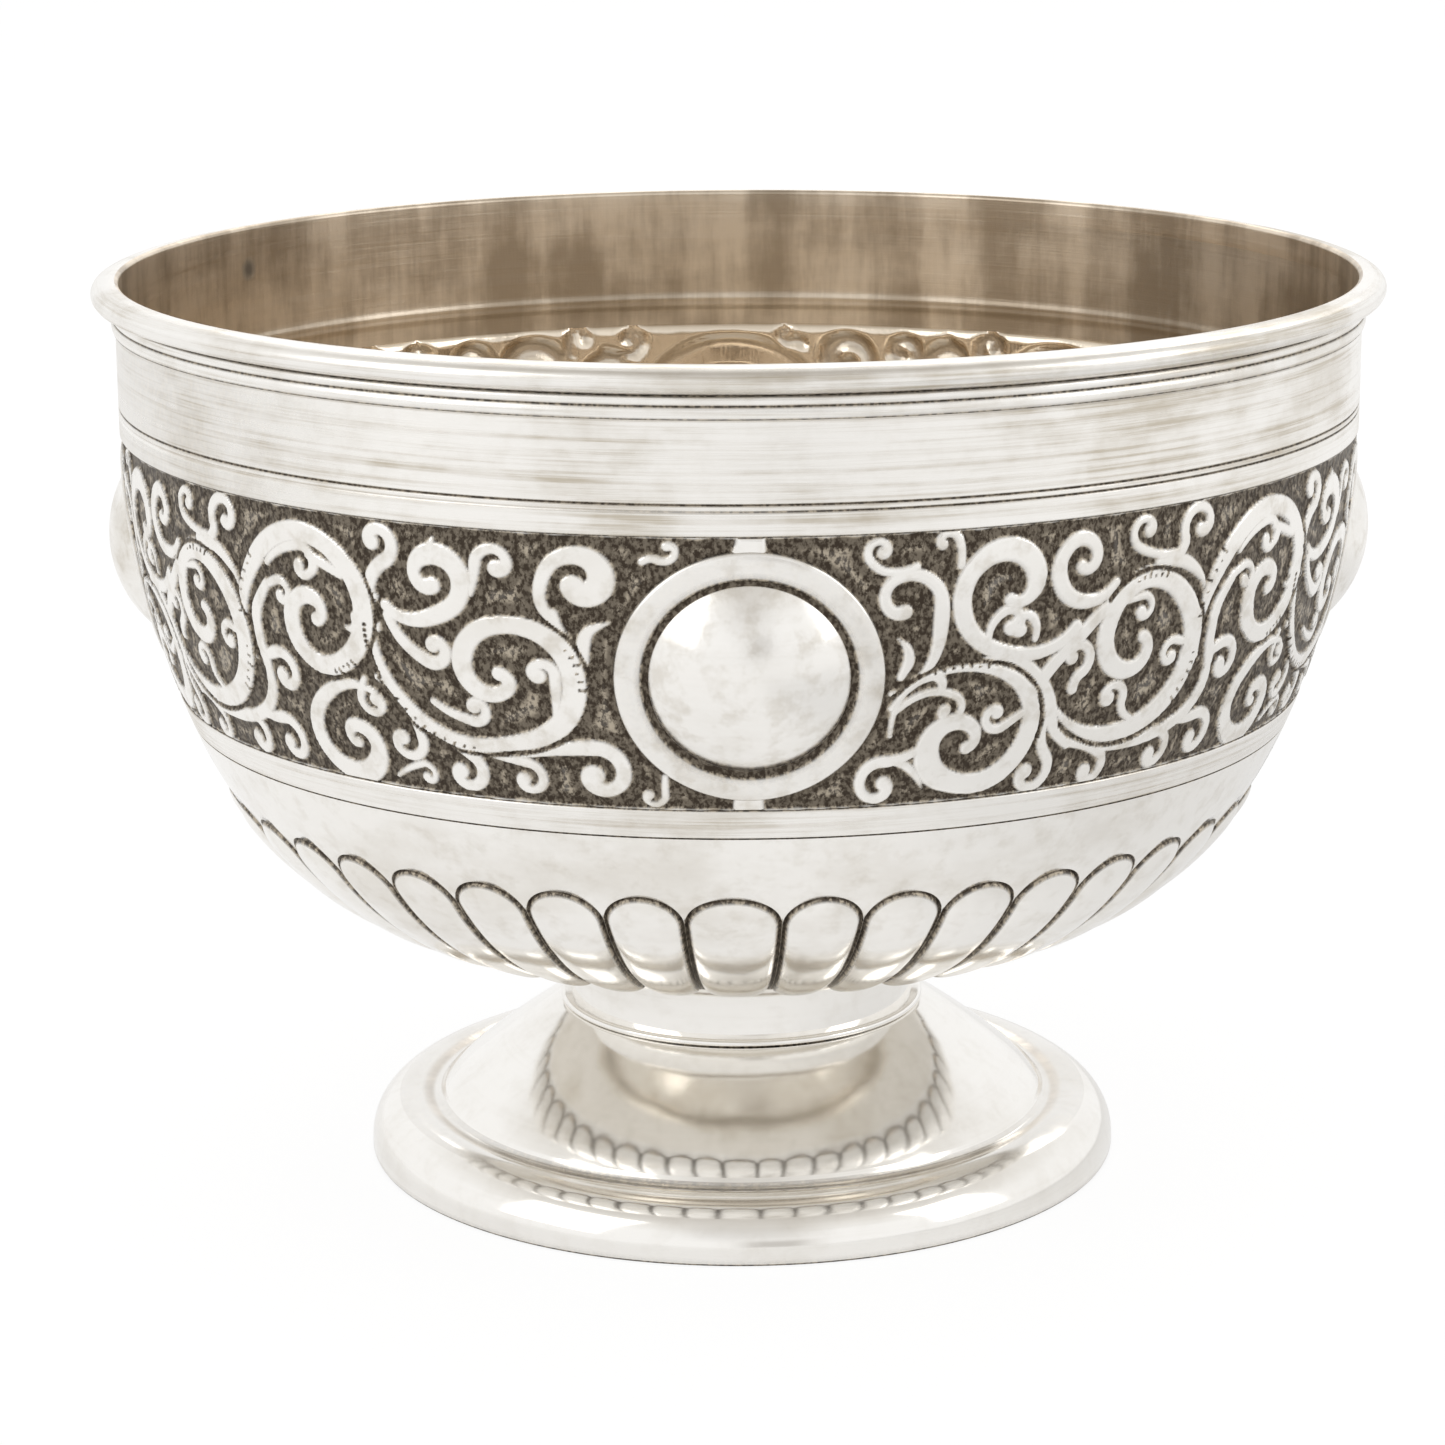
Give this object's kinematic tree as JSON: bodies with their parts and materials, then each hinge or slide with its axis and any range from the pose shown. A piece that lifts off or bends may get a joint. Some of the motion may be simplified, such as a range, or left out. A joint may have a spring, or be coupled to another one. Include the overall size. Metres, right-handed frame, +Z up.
{
  "type": "punch bowl",
  "caption": "Footed silver punch bowl with a moulded rim, a chased frieze with round bosses, lobes below and a spun foot.",
  "frame": {"origin": "centre of the foot's underside, on the surface that the bowl stands on", "axes": "+Z up along the bowl's axis, -Y towards one of the four round bosses, +X towards the next"},
  "size_m": [0.2542, 0.2542, 0.1816],
  "materials": {
    "chased_silver": "polished and chased, darkened in the recesses",
    "polished_silver": "polished",
    "silver_solder": "satin"
  },
  "bodies": {
    "root": {"bowl_body": "chased_silver", "rim_moulding": "polished_silver", "rim_solder": "silver_solder", "neck_spool": "polished_silver", "neck_bead_ring": "polished_silver", "neck_solder": "silver_solder", "bowl_solder": "silver_solder", "foot_dome": "polished_silver", "foot_rim_wire": "polished_silver", "foot_wire_solder": "silver_solder"}
  },
  "joints": []
}
